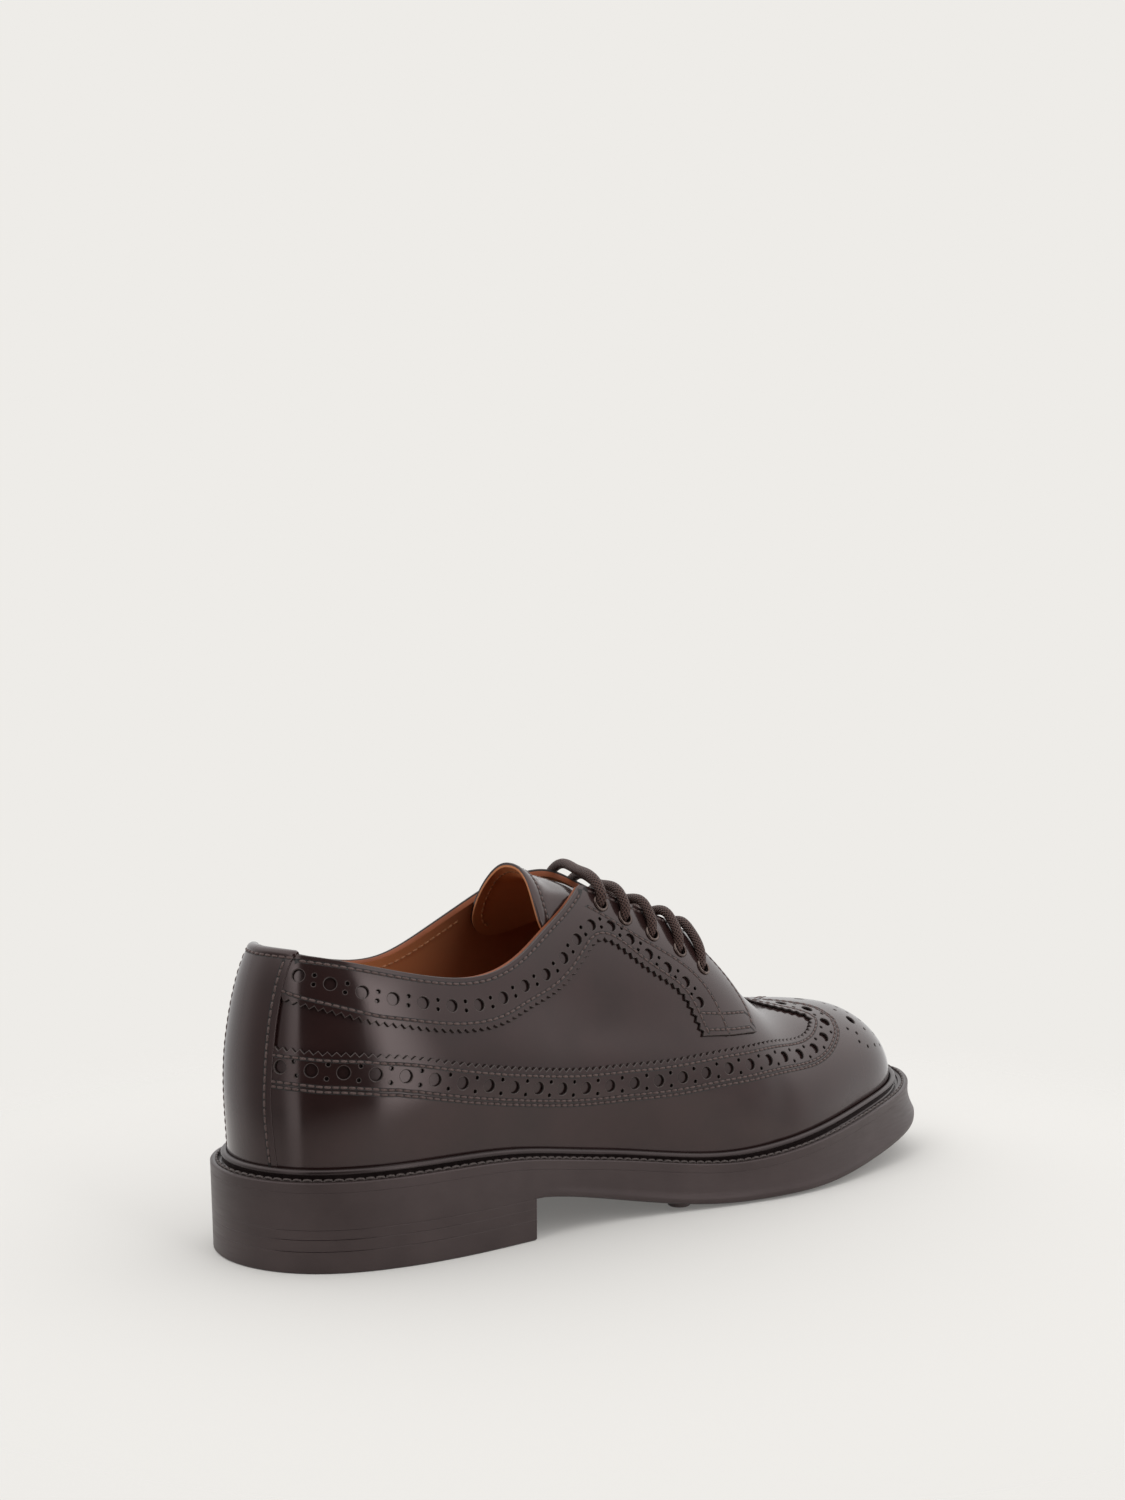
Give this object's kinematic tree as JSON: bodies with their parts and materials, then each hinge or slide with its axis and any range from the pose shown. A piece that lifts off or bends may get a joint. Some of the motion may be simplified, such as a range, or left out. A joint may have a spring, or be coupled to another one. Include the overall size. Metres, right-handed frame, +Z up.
{
  "type": "brogue",
  "caption": "Left longwing derby brogue in dark polished leather, laced in straight bars, on a storm-welted rubber sole with a stacked heel.",
  "frame": {"origin": "centre of the sole's box on the floor plane", "axes": "+X along the shoe from heel to toe, +Y to the shoe's outer side, +Z up"},
  "size_m": [0.3044, 0.1108, 0.1227],
  "materials": {
    "leather": "polished",
    "lining": "matte",
    "rubber": "satin",
    "welt": "satin",
    "lace": "woven",
    "bronze": "dark bronze"
  },
  "bodies": {
    "root": {"upper": "leather", "tongue": "leather", "wing_cap": "leather", "facing_inner": "leather", "facing_outer": "leather", "backstay": "leather", "outsole": "rubber", "heel_lift_upper": "rubber", "heel_lift_lower": "rubber", "top_lift": "rubber", "welt": "welt", "insole": "lining", "eyelet_inner_1": "bronze", "eyelet_inner_2": "bronze", "eyelet_inner_3": "bronze", "eyelet_inner_4": "bronze", "eyelet_inner_5": "bronze", "eyelet_outer_1": "bronze", "eyelet_outer_2": "bronze", "eyelet_outer_3": "bronze", "eyelet_outer_4": "bronze", "eyelet_outer_5": "bronze", "lace_bar_1": "lace", "lace_bar_2": "lace", "lace_bar_3": "lace", "lace_bar_4": "lace", "lace_bar_5": "lace"}
  },
  "joints": []
}
